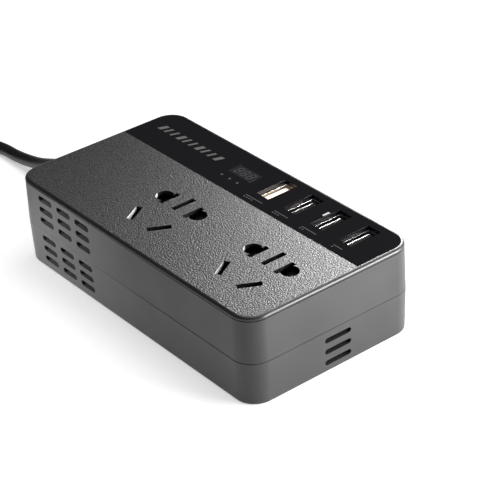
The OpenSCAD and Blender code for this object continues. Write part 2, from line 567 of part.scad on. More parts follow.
lower_casing();
upper_casing();
top_cover();
gloss_strip();
display_window();
display_module();
case_screws();
main_board();
usb_board();
usb_shell(0);  // usb_shell_1
usb_shell(1);  // usb_shell_2
usb_shell(2);  // usb_shell_3
usb_shell(3);  // usb_shell_4
usb_insert(0);  // usb_insert_1
usb_insert(1);  // usb_insert_2
usb_insert(2);  // usb_insert_3
usb_insert(3);  // usb_insert_4
usb_contacts();
status_lamp();
socket_housing(socket_ax);  // socket_housing_a
socket_housing(socket_bx);  // socket_housing_b
line_contact(socket_ax, 1);  // live_contact_a
line_contact(socket_ax, -1);  // neutral_contact_a
earth_contact(socket_ax);  // earth_contact_a
line_contact(socket_bx, 1);  // live_contact_b
line_contact(socket_bx, -1);  // neutral_contact_b
earth_contact(socket_bx);  // earth_contact_b
pair_shutter(socket_ax);  // pair_shutter_a
pair_shutter(socket_bx);  // pair_shutter_b
slant_shutter(socket_ax);  // slant_shutter_a
slant_shutter(socket_bx);  // slant_shutter_b
pair_springs(socket_ax);  // pair_springs_a
pair_springs(socket_bx);  // pair_springs_b
slant_spring(socket_ax);  // slant_spring_a
slant_spring(socket_bx);  // slant_spring_b
fan_frame();
fan_rotor();
transformer_core();
transformer_winding();
electrolytic_capacitors();
heatsink();
mosfets();
filter_inductor();
input_wires();
cable_gland();
cable_lead();
cable_coil();
cable_tail();
cable_tie();
plug_shell_upper();
plug_shell_lower();
plug_nose_cap();
plug_tip();
plug_fuse();
plug_spring();
plug_contact(1);  // plug_contact_left
plug_contact(-1);  // plug_contact_right
plug_boot();
plug_lamp();
plug_screws();
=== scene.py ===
import math

import bpy
import bmesh
from mathutils import Matrix, Vector


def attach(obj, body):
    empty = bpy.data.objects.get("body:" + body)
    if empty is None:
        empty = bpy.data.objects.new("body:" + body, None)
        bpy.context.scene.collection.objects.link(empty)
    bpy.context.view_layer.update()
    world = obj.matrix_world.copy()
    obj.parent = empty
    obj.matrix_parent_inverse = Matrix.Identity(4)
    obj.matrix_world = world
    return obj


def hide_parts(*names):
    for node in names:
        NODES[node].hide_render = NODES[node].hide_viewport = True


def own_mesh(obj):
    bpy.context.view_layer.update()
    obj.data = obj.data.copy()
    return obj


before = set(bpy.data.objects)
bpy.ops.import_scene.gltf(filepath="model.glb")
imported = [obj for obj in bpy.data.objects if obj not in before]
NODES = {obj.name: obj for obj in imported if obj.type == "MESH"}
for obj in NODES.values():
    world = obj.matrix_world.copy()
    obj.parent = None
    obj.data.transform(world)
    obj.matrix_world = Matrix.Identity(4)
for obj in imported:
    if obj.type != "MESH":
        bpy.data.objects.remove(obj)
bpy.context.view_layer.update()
scene = bpy.context.scene
MM = 0.001


# ------------------------------------------------------------------ materials
def principled(name, color, rough, metal=0.0, spec=0.5, coat=0.0, coat_rough=0.1):
    m = bpy.data.materials.new(name)
    m.use_nodes = True
    b = m.node_tree.nodes["Principled BSDF"]
    b.inputs["Base Color"].default_value = (*color, 1)
    b.inputs["Roughness"].default_value = rough
    b.inputs["Metallic"].default_value = metal
    b.inputs["Specular IOR Level"].default_value = spec
    b.inputs["Coat Weight"].default_value = coat
    b.inputs["Coat Roughness"].default_value = coat_rough
    m.diffuse_color = (*color, 1)
    return m


def nodes_of(m):
    t = m.node_tree
    return t, t.nodes, t.links, t.nodes["Principled BSDF"]


def coords(m, per_mm):
    """Object coordinates, scaled so that one unit is 1 / per_mm millimetres."""
    t, n, l, b = nodes_of(m)
    tc = n.new("ShaderNodeTexCoord")
    mp = n.new("ShaderNodeMapping")
    mp.inputs["Scale"].default_value = (per_mm * 1000,) * 3
    l.new(tc.outputs["Object"], mp.inputs["Vector"])
    return mp.outputs["Vector"]


def noise(m, vec, scale, detail=2.0, rough=0.5):
    t, n, l, b = nodes_of(m)
    x = n.new("ShaderNodeTexNoise")
    x.inputs["Scale"].default_value = scale
    x.inputs["Detail"].default_value = detail
    x.inputs["Roughness"].default_value = rough
    l.new(vec, x.inputs["Vector"])
    return x.outputs["Fac"]


def voronoi(m, vec, scale, smooth=0.6):
    t, n, l, b = nodes_of(m)
    x = n.new("ShaderNodeTexVoronoi")
    x.feature = "SMOOTH_F1"
    x.inputs["Scale"].default_value = scale
    x.inputs["Smoothness"].default_value = smooth
    l.new(vec, x.inputs["Vector"])
    return x.outputs["Distance"]


def maths(m, op, a, b_, clamp=False):
    t, n, l, b = nodes_of(m)
    x = n.new("ShaderNodeMath")
    x.operation = op
    x.use_clamp = clamp
    for i, v in enumerate((a, b_)):
        if isinstance(v, (int, float)):
            x.inputs[i].default_value = v
        else:
            l.new(v, x.inputs[i])
    return x.outputs[0]


def remap(m, value, lo, hi, out_lo, out_hi):
    t, n, l, b = nodes_of(m)
    x = n.new("ShaderNodeMapRange")
    x.inputs["From Min"].default_value = lo
    x.inputs["From Max"].default_value = hi
    x.inputs["To Min"].default_value = out_lo
    x.inputs["To Max"].default_value = out_hi
    l.new(value, x.inputs["Value"])
    return x.outputs["Result"]


def ramp(m, value, stops):
    t, n, l, b = nodes_of(m)
    x = n.new("ShaderNodeValToRGB")
    e = x.color_ramp.elements
    while len(e) < len(stops):
        e.new(0.5)
    for k, (p, c) in zip(e, stops):
        k.position = p
        k.color = (*c, 1)
    l.new(value, x.inputs["Fac"])
    return x.outputs["Color"]


def bump(m, height, distance_mm, strength=1.0, base=None):
    t, n, l, b = nodes_of(m)
    x = n.new("ShaderNodeBump")
    x.inputs["Strength"].default_value = strength
    x.inputs["Distance"].default_value = distance_mm * MM
    l.new(height, x.inputs["Height"])
    if base is not None:
        l.new(base, x.inputs["Normal"])
    return x.outputs["Normal"]


def fine_satin(name, color, rough, grain=0.012, spread=0.06, per_mm=5.0):
    """Moulded plastic with spark-eroded fine grain and slightly uneven gloss."""
    m = principled(name, color, rough)
    t, n, l, b = nodes_of(m)
    v = coords(m, 1.0)
    fine = noise(m, v, per_mm, 3.0, 0.6)
    cloud = noise(m, v, 0.06, 3.0, 0.55)
    l.new(remap(m, cloud, 0.3, 0.7, rough - spread, rough + spread), b.inputs["Roughness"])
    l.new(bump(m, fine, grain), b.inputs["Normal"])
    c = ramp(m, cloud, [(0.3, [x * 0.9 for x in color]), (0.7, [x * 1.1 for x in color])])
    l.new(c, b.inputs["Base Color"])
    return m


def grained(name, color, rough):
    """Leather-like grain: small rounded pebbles over a finer roughness."""
    m = principled(name, color, rough)
    t, n, l, b = nodes_of(m)
    v = coords(m, 1.0)
    cells = voronoi(m, v, 1.75, 0.35)
    mid = noise(m, v, 2.2, 2.0, 0.6)
    fine = noise(m, v, 6.0, 2.0, 0.6)
    pebble = maths(m, "SUBTRACT", 0.75, cells)
    h = maths(m, "ADD", pebble, maths(m, "MULTIPLY", mid, 1.3))
    h = maths(m, "ADD", h, maths(m, "MULTIPLY", fine, 0.22))
    l.new(bump(m, h, 0.19, 1.0), b.inputs["Normal"])
    # Colour follows the pebble height: the hollows are painted darker (painted shade) and the pebble tops lighter
    # (painted sparkle).
    painted_grain_shade = ramp(m, remap(m, h, 0.7, 1.6, 0.0, 1.0), [(0.15, [x * 0.3 for x in color]), (0.85, [min(1, x * 2.1) for x in color])])
    l.new(painted_grain_shade, b.inputs["Base Color"])
    l.new(remap(m, h, 0.7, 1.6, rough + 0.12, rough - 0.10), b.inputs["Roughness"])
    return m


M = {}
M["shell"] = fine_satin("shell_plastic", (0.027, 0.027, 0.028), 0.38, 0.010)
M["shell"].node_tree.nodes["Principled BSDF"].inputs["Specular IOR Level"].default_value = 0.43
M["inside"] = fine_satin("inside_plastic", (0.020, 0.020, 0.021), 0.55, 0.01)
M["cover"] = grained("grained_plastic", (0.022, 0.0217, 0.022), 0.40)
M["rim"] = fine_satin("cover_rim_plastic", (0.018, 0.018, 0.0186), 0.33, 0.008)
# Light grey for the cover's hole walls that face the key lamps: a painted highlight, not the plastic's own colour.
M["wall"] = principled("painted_highlight_wall_plastic", (0.55, 0.55, 0.555), 0.25, coat=0.5)
# Near-black. This is the real shutters' own colour. It is also used as painted shade on the shells' inner faces and on
# the cover's hole walls that face away from the lamps.
M["shutter"] = principled("shutter_and_painted_shade_plastic", (0.006, 0.006, 0.0062), 0.6, spec=0.2)
M["gloss"] = principled("gloss_black", (0.0115, 0.0105, 0.0125), 0.07, spec=0.42)
M["lens"] = principled("smoked_lens", (0.028, 0.026, 0.031), 0.10, spec=0.6)
M["segment"] = principled("segment_grey", (0.10, 0.10, 0.105), 0.3)
M["print"] = principled("print_white", (0.17, 0.17, 0.17), 0.45)
M["print_dim"] = principled("print_grey", (0.12, 0.12, 0.12), 0.45)
M["lamp_white"] = principled("milky_lens", (0.86, 0.87, 0.88), 0.18, coat=0.4)
M["tin"] = principled("tin_plate", (0.80, 0.79, 0.78), 0.24, metal=1.0)
M["cream"] = principled("cream_plastic", (0.74, 0.60, 0.47), 0.42)
M["black"] = fine_satin("black_insert", (0.012, 0.012, 0.0125), 0.42, 0.006)
M["gold"] = principled("gold_plate", (0.83, 0.62, 0.27), 0.22, metal=1.0)
M["brass"] = principled("stamped_brass", (0.78, 0.60, 0.30), 0.30, metal=1.0)
M["steel"] = principled("spring_steel", (0.62, 0.62, 0.63), 0.28, metal=1.0)
M["screw"] = principled("zinc_screw", (0.30, 0.30, 0.31), 0.36, metal=1.0)
M["nickel"] = principled("nickel_plate", (0.78, 0.76, 0.73), 0.17, metal=1.0)
M["board"] = fine_satin("solder_mask", (0.018, 0.12, 0.045), 0.30, 0.01)
M["meter"] = principled("meter_plastic", (0.70, 0.69, 0.65), 0.5)
M["ferrite"] = fine_satin("ferrite", (0.045, 0.042, 0.042), 0.7, 0.03, 0.04, 3.0)
M["copper"] = principled("enamelled_copper", (0.62, 0.26, 0.09), 0.28, metal=1.0)
M["can"] = principled("capacitor_sleeve", (0.018, 0.028, 0.055), 0.35)
M["alu"] = principled("aluminium", (0.76, 0.76, 0.77), 0.34, metal=1.0)
M["epoxy"] = fine_satin("epoxy", (0.018, 0.018, 0.019), 0.5, 0.01)
M["red"] = principled("wire_sleeve", (0.42, 0.03, 0.02), 0.45)
M["cable"] = fine_satin("cable_jacket", (0.010, 0.010, 0.0105), 0.40, 0.014, 0.05, 3.5)
M["boot"] = fine_satin("boot_rubber", (0.024, 0.024, 0.025), 0.55, 0.016, 0.05, 4.0)
M["tie"] = principled("tie_nylon", (0.022, 0.022, 0.023), 0.38)
M["plug"] = fine_satin("plug_plastic", (0.028, 0.028, 0.030), 0.38, 0.012)
M["glass"] = principled("fuse_glass", (0.88, 0.90, 0.89), 0.08)
M["red_lens"] = principled("red_lens", (0.55, 0.02, 0.015), 0.12, coat=0.6)


# ------------------------------------------------------------------ mesh tools
# Pieces are modelled in millimetres and scaled to metres once they are finished.
def obj_from(name, verts, faces, materials=(), face_mats=None):
    me = bpy.data.meshes.new(name)
    me.from_pydata(verts, [], faces)
    me.update()
    o = bpy.data.objects.new(name, me)
    scene.collection.objects.link(o)
    for m in materials:
        me.materials.append(m)
    if face_mats:
        for p, k in zip(me.polygons, face_mats):
            p.material_index = k
    return o


def join_data(parts):
    verts, faces = [], []
    for v, f in parts:
        b = len(verts)
        verts += v
        faces += [tuple(i + b for i in q) for q in f]
    return verts, faces


def rring(l, w, r, n=14):
    pts = []
    for sx, sy, a0 in ((1, 1, 0), (-1, 1, 90), (-1, -1, 180), (1, -1, 270)):
        for k in range(n + 1):
            a = math.radians(a0 + 90 * k / n)
            pts.append((sx * (l / 2 - r) + r * math.cos(a), sy * (w / 2 - r) + r * math.sin(a)))
    return pts


def loft(rings, cap_first=True, cap_last=True):
    """rings: [(2-D outline counter-clockwise, z)], joined in order; going up, faces look outwards."""
    n = len(rings[0][0])
    verts = [(x, y, z) for pts, z in rings for x, y in pts]
    faces = []
    for i in range(len(rings) - 1):
        for k in range(n):
            k2 = (k + 1) % n
            faces.append((i * n + k, i * n + k2, (i + 1) * n + k2, (i + 1) * n + k))
    if cap_first:
        faces.append(tuple(range(n - 1, -1, -1)))
    if cap_last:
        b = (len(rings) - 1) * n
        faces.append(tuple(range(b, b + n)))
    return verts, faces


def prism(pts, z0, z1):
    return loft([(pts, z0), (pts, z1)])


def boxd(x0, x1, y0, y1, z0, z1):
    return prism([(x0, y0), (x1, y0), (x1, y1), (x0, y1)], z0, z1)


def moved(part, matrix):
    v, f = part
    return [tuple(matrix @ Vector(p)) for p in v], f


def lathe(profile, n=72, a0=0.0, a1=360.0):
    """profile: [(x, r)] turned about the X axis. A full turn closes; a part turn is capped."""
    full = abs(a1 - a0 - 360) < 1e-6
    m = n if full else n + 1
    verts, faces = [], []
    for i in range(m):
        a = math.radians(a0 + (a1 - a0) * i / n)
        for x, r in profile:
            verts.append((x, r * math.cos(a), r * math.sin(a)))
    p = len(profile)
    for i in range(n):
        j = (i + 1) % m if full else i + 1
        for k in range(p - 1):
            faces.append((i * p + k, i * p + k + 1, j * p + k + 1, j * p + k))
    if not full:
        faces.append(tuple(range(p - 1, -1, -1)))
        faces.append(tuple(range(n * p, n * p + p)))
    return verts, faces


def tidy(me, dist=1e-5):
    bm = bmesh.new()
    bm.from_mesh(me)
    bmesh.ops.remove_doubles(bm, verts=bm.verts, dist=dist)
    bmesh.ops.dissolve_degenerate(bm, dist=dist, edges=bm.edges)
    bmesh.ops.recalc_face_normals(bm, faces=bm.faces)
    bm.to_mesh(me)
    bm.free()


def evaluated(o):
    dg = bpy.context.evaluated_depsgraph_get()
    dg.update()
    old = o.data
    me = bpy.data.meshes.new_from_object(o.evaluated_get(dg))
    o.modifiers.clear()
    o.data = me
    bpy.data.meshes.remove(old)


def cut(o, part, name="cutter"):
    c = obj_from(name, *part)
    tidy(c.data)
    mod = o.modifiers.new("cut", "BOOLEAN")
    mod.operation = "DIFFERENCE"
    mod.solver = "EXACT"
    mod.object = c
    bpy.context.view_layer.update()
    evaluated(o)
    me = c.data
    bpy.data.objects.remove(c)
    bpy.data.meshes.remove(me)
    tidy(o.data)


def finish(o, bevel=0.0, segments=2, angle=35.0, body="case", node=None, smooth=True, weighted=True):
    """Rounds the sharp edges, scales to metres, smooths, and hangs the piece on its body."""
    if bevel:
        b = o.modifiers.new("bevel", "BEVEL")
        b.width = bevel
        b.segments = segments
        b.limit_method = "ANGLE"
        b.angle_limit = math.radians(angle)
        b.use_clamp_overlap = True
        b.harden_normals = False
        b.miter_outer = "MITER_ARC"
        bpy.context.view_layer.update()
        evaluated(o)
    me = o.data
    me.transform(Matrix.Scale(MM, 4))
    me.update()
    if smooth:
        me.polygons.foreach_set("use_smooth", [True] * len(me.polygons))
        me.set_sharp_from_angle(angle=math.radians(40))
        if weighted:
            w = o.modifiers.new("normals", "WEIGHTED_NORMAL")
            w.keep_sharp = True
            w.weight = 70
    if node:
        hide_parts(*([node] if isinstance(node, str) else node))
    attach(o, body)
    return o


# ------------------------------------------------------------------ sizes, in millimetres
L, W, H = 130.0, 70.0, 33.0
SPLIT = 15.7
COVER_Z = 31.5
DECK_Z = 29.9
SOCKETS = (-6.2, 41.6)
PAIR_Y, SLANT_Y = -6.1, -20.5
USB_X = [8 + 14.05 * i for i in range(4)]
USB_Y = 24.1
STRIP_Z = 32.2
METER = (-8.35, 23.25, 12.0, 5.9)
VENT_COLS = (-47.3, -36.05, -24.9)
VENT_ROWS = (28.6, 24.3, 20.0, 12.7, 8.5, 4.3)
END_ROWS = (12.05, 7.75, 3.45)
DRAFT_LOW, DRAFT_TOP = 0.45, 0.30


def pin_hole(cx, s, g):
    """Outline of a flat-and-round pin hole, counter-clockwise."""
    r = 3.2 + g
    x0, x1, h = 5.7 - g, 7.7 + g, 4.05 + g
    y = math.sqrt(r * r - (9.3 - x1) ** 2)
    a = math.degrees(math.atan2(y, x1 - 9.3))
    pts = [(x0, h), (x0, -h), (x1, -h), (x1, -y)]
    n = 30
    for k in range(1, n):
        t = math.radians(-a + 2 * a * k / n)
        pts.append((9.3 + r * math.cos(t), r * math.sin(t)))
    pts += [(x1, y), (x1, h)]
    if s < 0:
        pts = [(-x, y_) for x, y_ in reversed(pts)]
    return [(cx + x, PAIR_Y + y_) for x, y_ in pts]


def slanted(cx, s, g):
    w, l = 1.2 + g, 4.1 + g
    a = math.radians(-s * 30)
    return [(cx + s * 6.9 + x * math.cos(a) - y * math.sin(a), SLANT_Y + x * math.sin(a) + y * math.cos(a))
            for x, y in ((-w, -l), (w, -l), (w, l), (-w, l))]


def top_holes(z0, z1, g, usb=(3.05, 6.4), meter=(5.5, 2.5), lamp=0.1):
    parts = []
    for cx in SOCKETS:
        for s in (-1, 1):
            parts.append(prism(pin_hole(cx, s, g), z0, z1))
            parts.append(prism(slanted(cx, s, g), z0, z1))
        parts.append(boxd(cx - 1.05 - g, cx + 1.05 + g, -9.8 - g, -0.4 + g, z0, z1))
    for x in USB_X:
        parts.append(boxd(x - usb[0], x + usb[0], USB_Y - usb[1], USB_Y + usb[1], z0, z1))
    if meter:
        parts.append(boxd(METER[0] - meter[0], METER[0] + meter[0], METER[1] - meter[1], METER[1] + meter[1], z0, z1))
    parts.append(boxd(31.5 - lamp, 32.4 + lamp, 24 - lamp, 26.9 + lamp, z0, z1))
    return parts


def from_wall(x, y):
    """Signed distance from the casing's outline in plan: negative inside."""
    qx, qy = abs(x) - (L / 2 - 8), abs(y) - (W / 2 - 8)
    return math.hypot(max(qx, 0), max(qy, 0)) + min(max(qx, qy), 0) - 8


def slot_outline(l, h, n=10):
    r = h / 2
    pts = []
    for sx, a0 in ((1, -90), (-1, 90)):
        for k in range(n + 1):
            a = math.radians(a0 + 180 * k / n)
            pts.append((sx * (l / 2 - r) + r * math.cos(a), r * math.sin(a)))
    return pts


TO_Y = Matrix(((1, 0, 0, 0), (0, 0, 1, 0), (0, 1, 0, 0), (0, 0, 0, 1)))     # outline x, y -> X, Z, depth along Y
TO_X = Matrix(((0, 0, 1, 0), (1, 0, 0, 0), (0, 1, 0, 0), (0, 0, 0, 1)))     # outline x, y -> Y, Z, depth along X


def side_vents(rows):
    return [moved(prism(slot_outline(8.2, 2.2), -W / 2 - 1, -W / 2 + 3), Matrix.Translation((x, 0, z)) @ TO_Y)
            for x in VENT_COLS for z in rows]


def end_vents():
    return [moved(prism(slot_outline(11, 1.9), L / 2 - 3, L / 2 + 1), Matrix.Translation((0, 1.2, z)) @ TO_X)
            for z in END_ROWS]


def clip_y(pts, y0):
    """The part of a convex outline on the +Y side of y0."""
    out = []
    for i, p in enumerate(pts):
        q = pts[(i + 1) % len(pts)]
        if p[1] >= y0:
            out.append(p)
        if (p[1] - y0) * (q[1] - y0) < 0:
            t = (y0 - p[1]) / (q[1] - p[1])
            out.append((p[0] + (q[0] - p[0]) * t, y0))
    return out


# ------------------------------------------------------------------ casing
def make_lower_shell():
    rings = []
    f = 0.6
    for k in range(7):
        a = math.radians(90 * k / 6)
        i = DRAFT_LOW + f * (1 - math.sin(a))
        rings.append((rring(L - 2 * i, W - 2 * i, 8 - i), f * (1 - math.cos(a))))
    top = SPLIT - 0.03
    rings.append((rring(L, W, 8), top - 0.12))
    rings.append((rring(L - 0.26, W - 0.26, 7.87), top))
    rings.append((rring(L - 2.1, W - 2.1, 7), top))
    rings.append((rring(L - 2.1, W - 2.1, 7), top + 1.2))
    rings.append((rring(L - 4, W - 4, 6), top + 1.2))
    rings.append((rring(L - 4, W - 4, 6), 2))
    o = obj_from("casing_lower_shell", *loft(rings), [M["shell"], M["shutter"]])
    tidy(o.data)
    cyl = [prism([(sx * 59.3 + 2.6 * math.cos(t * math.pi / 16), sy * 29.3 + 2.6 * math.sin(t * math.pi / 16)) for t in range(32)], -1, 1.97)
           for sx in (-1, 1) for sy in (-1, 1)]
    hole = [moved(prism([(4.0 * math.cos(t * math.pi / 24), 4.0 * math.sin(t * math.pi / 24)) for t in range(48)], -L / 2 - 1, -L / 2 + 3), Matrix.Translation((0, 0, SPLIT)) @ TO_X)]
    cut(o, join_data(side_vents(VENT_ROWS[3:]) + end_vents() + cyl + hole))
    # Inner faces get the near-black material: painted shade, so the vent openings read dark.
    for p in o.data.polygons:
        c, n = p.center, p.normal
        if from_wall(c.x, c.y) < -1.85 and c.z > 1.99:
            p.material_index = 1
    return finish(o, 0.14, 2, 50, node="lower_casing")


def make_upper_shell():
    rings = [(rring(L - 4, W - 4, 6), DECK_Z), (rring(L - 4, W - 4, 6), SPLIT + 1.3), (rring(L - 2, W - 2, 7), SPLIT + 1.3),
             (rring(L - 2, W - 2, 7), SPLIT + 0.03), (rring(L - 0.26, W - 0.26, 7.87), SPLIT + 0.03), (rring(L, W, 8), SPLIT + 0.15)]
    t = DRAFT_TOP
    rings += [(rring(L - 2 * t, W - 2 * t, 8 - t), COVER_Z - 0.3), (rring(L - 2 * t - 0.16, W - 2 * t - 0.16, 8 - t - 0.08), COVER_Z - 0.22),
              (rring(L - 2 * t - 1.4, W - 2 * t - 1.4, 7 - t), COVER_Z - 0.22), (rring(L - 2 * t - 1.4, W - 2 * t - 1.4, 7 - t), COVER_Z)]
    o = obj_from("casing_upper_shell", *loft(rings), [M["shell"], M["shutter"]])
    tidy(o.data)
    hole = [moved(prism([(4.0 * math.cos(t * math.pi / 24), 4.0 * math.sin(t * math.pi / 24)) for t in range(48)], -L / 2 - 1, -L / 2 + 3), Matrix.Translation((0, 0, SPLIT)) @ TO_X)]
    cut(o, join_data(side_vents(VENT_ROWS[:3]) + hole))
    deck = [boxd(cx - 13.2, cx + 13.2, -25.6, 0.4, DECK_Z - 1, COVER_Z + 1) for cx in SOCKETS]
    deck += [boxd(x - 3.15, x + 3.15, USB_Y - 6.85, USB_Y + 6.85, DECK_Z - 1, COVER_Z + 1) for x in USB_X]
    deck.append(boxd(METER[0] - 6.3, METER[0] + 6.3, METER[1] - 3.8, METER[1] + 3.8, DECK_Z - 1, COVER_Z + 1))
    deck.append(boxd(31.3, 32.6, 23.8, 27.1, DECK_Z - 1, COVER_Z + 1))
    cut(o, join_data(deck))
    # Inner faces and deck hole walls get the near-black material: painted shade inside the casing.
    for p in o.data.polygons:
        c = p.center
        if from_wall(c.x, c.y) < -1.85:
            p.material_index = 1
    return finish(o, 0.10, 2, 50, node="upper_casing")


def strip_outline(grow):
    return clip_y(rring(L - 3 + 2 * grow, W - 3 + 2 * grow, 6.5 + grow, 20), 11.2 - grow)


def make_cover():
    t = DRAFT_TOP - 0.06
    f = 1.22
    rings = [(rring(L - 2 * t - 0.2, W - 2 * t - 0.2, 8 - t - 0.1), COVER_Z), (rring(L - 2 * t, W - 2 * t, 8 - t), COVER_Z + 0.1)]
    for k in range(9):
        a = math.radians(90 * k / 8)
        i = t + f * (1 - math.cos(a))
        rings.append((rring(L - 2 * i, W - 2 * i, 8 - i), H - f + f * math.sin(a)))
    o = obj_from("top_cover_plate", *loft(rings), [M["cover"], M["wall"], M["gloss"], M["rim"], M["shutter"]])
    tidy(o.data)
    cut(o, prism(strip_outline(0.05), STRIP_Z, H + 1))
    cut(o, join_data(top_holes(COVER_Z - 1, H + 1, 0.0)))
    for p in o.data.polygons:
        c, n = p.center, p.normal
        # Hole walls facing the lamps at +X+Y get the light grey painted highlight. The other hole walls get near-black
        # painted shade.
        if from_wall(c.x, c.y) < -1.6 and abs(n.z) < 0.3 and c.z < H - 0.001:
            p.material_index = 2 if c.y > 11 else 1 if (n.x + n.y) * 0.7071 > 0.85 else 4
        elif c.z < H - 0.02 or n.z < 0:
            p.material_index = 3
    return finish(o, 0.11, 2, 50, node="top_cover")


def make_strip():
    o = obj_from("glossy_strip", *prism(strip_outline(0), STRIP_Z, H), [M["gloss"]])
    tidy(o.data)
    parts = [boxd(x - 3.05, x + 3.05, USB_Y - 6.4, USB_Y + 6.4, STRIP_Z - 1, H + 1) for x in USB_X]
    parts.append(boxd(METER[0] - 6.05, METER[0] + 6.05, METER[1] - 3.0, METER[1] + 3.0, STRIP_Z - 1, H + 1))
    parts.append(boxd(31.45, 32.45, 23.95, 26.95, STRIP_Z - 1, H + 1))
    cut(o, join_data(parts))
    return finish(o, 0.09, 2, 50, node="gloss_strip")


shells = [make_lower_shell(), make_upper_shell()]
cover = make_cover()
make_strip()

# meter window with unlit seven-segment digits
o = obj_from("meter_window", *boxd(METER[0] - 6, METER[0] + 6, METER[1] - 2.95, METER[1] + 2.95, STRIP_Z, H), [M["lens"]])
finish(o, 0.08, 2, node="display_window")


def flat(parts, name, mat, z=H, t=0.012):
    o = obj_from(name, *join_data([prism(p, z, z + t) for p in parts]), [mat])
    return finish(o, 0, smooth=False)


def sheared(x, y, w, h, lean):
    return [(x + x_ + lean * (y_ / h), y + y_) for x_, y_ in ((0, 0), (w, 0), (w, h), (0, h))]


segments = []
for d in range(3):
    bx, by, sw, sh, t = METER[0] - 4.4 + 3.25 * d, METER[1] - 2.0, 2.1, 3.9, 0.34
    for yy in (0, sh / 2 - t / 2, sh - t):
        segments.append(sheared(bx + t * 0.9 + 0.12 * yy, by + yy, sw - 1.8 * t, t, 0.03))
    for xx in (0, sw - t):
        for yy in (t * 0.7, sh / 2 + t * 0.35):
            segments.append(sheared(bx + xx + 0.12 * yy, by + yy, t, sh / 2 - 1.05 * t, 0.2))
flat(segments, "meter_segments", M["segment"])

# printed marks: a row of plain slanted bars, dots and dashes
bars = []
for k in range(10):
    x = -57.4 + k * 3.62
    bars.append(sheared(x, 21.5, 1.1 if k % 3 else 1.9, 3.4, 1.25))
flat(bars, "strip_bars", M["print"])


def disc(cx, cy, r, n=20):
    return [(cx + r * math.cos(2 * math.pi * k / n), cy + r * math.sin(2 * math.pi * k / n)) for k in range(n)]


marks = [disc(cx, 17.1, 0.5) for cx in (-13.6, -9.3, -5.0)]
for k, (x0, x1) in enumerate(((3.2, 11.8), (18.4, 25.2), (32.4, 39.6), (48.4, 52.5))):
    marks.append([(x0, 14.25), (x1, 14.25), (x1, 14.6), (x0, 14.6)])
    marks += [disc(x0 + 0.4 + 1.3 * q, 13.35, 0.34) for q in range(4 - k)]
flat(marks, "port_marks", M["print_dim"])

o = obj_from("status_lamp_lens", *boxd(31.5, 32.4, 24, 26.9, 17.4, H), [M["lamp_white"]])
finish(o, 0.1, 2, node="status_lamp")


# ------------------------------------------------------------------ USB sockets
def tube_wall(l, w, r, t, z0, z1, n=6):
    outer, inner = rring(l, w, r, n), rring(l - 2 * t, w - 2 * t, max(0.05, r - t), n)
    rings = [(outer, z0), (outer, z1 - 0.08), (rring(l - 0.1, w - 0.1, r - 0.05, n), z1 - 0.02), (rring(l - 0.3, w - 0.3, r - 0.12, n), z1),
             (rring(l - 2 * t + 0.08, w - 2 * t + 0.08, max(0.06, r - t + 0.04), n), z1 - 0.04), (inner, z1 - 0.12), (inner, z0)]
    v, f = loft(rings, False, False)
    m = len(outer)
    last = (len(rings) - 1) * m
    f += [(k, last + k, last + (k + 1) % m, (k + 1) % m) for k in range(m)]
    return v, f


rims = []
for i, x in enumerate(USB_X):
    leaf = []
    for dy in (-3.4, 3.4):
        for s, depth in ((1, 0.42), (-1, 0.3)):
            xi = x + s * 2.55
            pts = [(xi, 30.2), (xi - s * 0.1, 29.0), (xi - s * depth, 26.6), (xi - s * depth * 0.9, 25.8), (xi, 24.2)]
            prof = pts + [(a + s * 0.16, b) for a, b in reversed(pts)]
            if s < 0:
                prof = prof[::-1]
            leaf.append(([(a, USB_Y + dy + e, b) for e in (-0.9, 0.9) for a, b in prof],
                         [tuple(range(len(prof))), tuple(range(2 * len(prof) - 1, len(prof) - 1, -1))]
                         + [(k, k + len(prof), (k + 1) % len(prof) + len(prof), (k + 1) % len(prof)) for k in range(len(prof))]))
    shell = moved(tube_wall(5.7, 13.1, 0.55, 0.3, 17.4, 31.45), Matrix.Translation((x, USB_Y, 0)))
    o = obj_from(f"usb_shell_{i + 1}_formed", *join_data([shell] + leaf), [M["tin"]])
    tidy(o.data)
    rims.append(finish(o, 0, node=f"usb_shell_{i + 1}"))
    base = boxd(x - 2.5, x + 2.5, USB_Y - 6.2, USB_Y + 6.2, 17.4, 20.4)
    tongue = boxd(x - 1.67, x + 0.17, USB_Y - 5.35, USB_Y + 5.35, 20.4, 30.9)
    o = obj_from(f"usb_insert_{i + 1}_moulded", *join_data([base, tongue]), [M["cream" if i == 0 else "black"]])
    finish(o, 0.13, 2, node=f"usb_insert_{i + 1}")
    if i == 0:
        rims.append(o)
    else:
        o = obj_from(f"usb_insert_{i + 1}_edge", *boxd(x - 1.55, x - 1.1, USB_Y - 5.2, USB_Y + 5.2, 30.85, 30.94), [M["tin"]])
        rims.append(finish(o, 0.03, 1))


# ------------------------------------------------------------------ springs
def helix(x0, x1, r, wire, turns, per=28, sides=8):
    m = int(turns * per)
    verts, faces = [], []
    for i in range(m + 1):
        a = 2 * math.pi * i / per
        x = x0 + wire + (x1 - x0 - 2 * wire) * i / m
        for k in range(sides):
            q = 2 * math.pi * k / sides
            verts.append((x + wire * math.sin(q), (r + wire * math.cos(q)) * math.cos(a), (r + wire * math.cos(q)) * math.sin(a)))
    for i in range(m):
        for k in range(sides):
            faces.append((i * sides + k, i * sides + (k + 1) % sides, (i + 1) * sides + (k + 1) % sides, (i + 1) * sides + k))
    faces.append(tuple(range(sides - 1, -1, -1)))
    faces.append(tuple(range(m * sides, (m + 1) * sides)))
    return verts, faces


